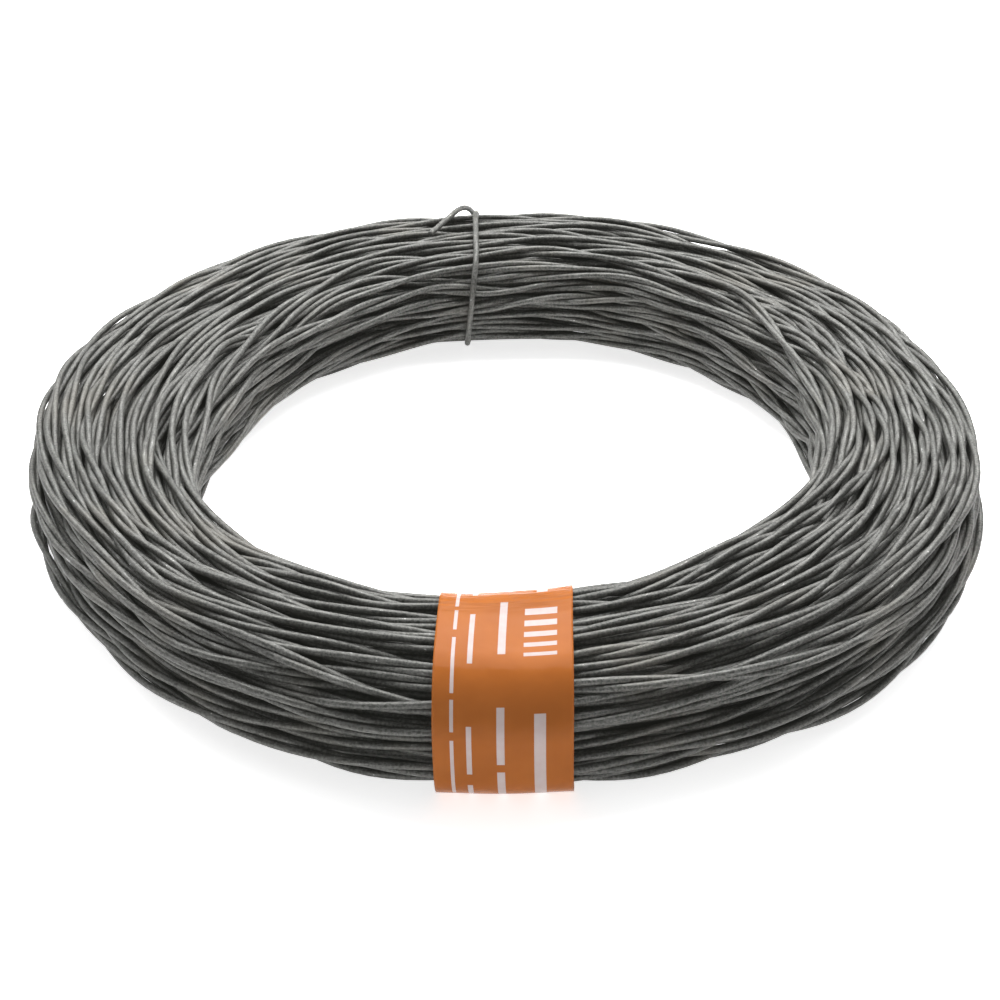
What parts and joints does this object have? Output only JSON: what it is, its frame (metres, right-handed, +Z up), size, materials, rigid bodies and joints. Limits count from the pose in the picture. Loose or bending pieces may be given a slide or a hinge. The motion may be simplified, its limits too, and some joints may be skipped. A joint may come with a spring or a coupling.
{
  "type": "coil of annealed tying wire",
  "caption": "Small coil of dark annealed twisted tying wire, lying flat, held at the back by a hooked tie of the same wire, with an orange film label wrapped round the front.",
  "frame": {"origin": "on the coil's axis, on the plane that it lies on", "axes": "+Z up along the coil's axis, -Y towards the label, +Y towards the tie"},
  "size_m": [0.1798, 0.1817, 0.0255],
  "materials": {
    "wire": "dark annealed, matte",
    "tie": "dark annealed, matte",
    "label": "glossy printed film"
  },
  "bodies": {
    "root": {"wire_coil": "wire", "tie_wire": "tie", "label_band": "label"}
  },
  "joints": []
}
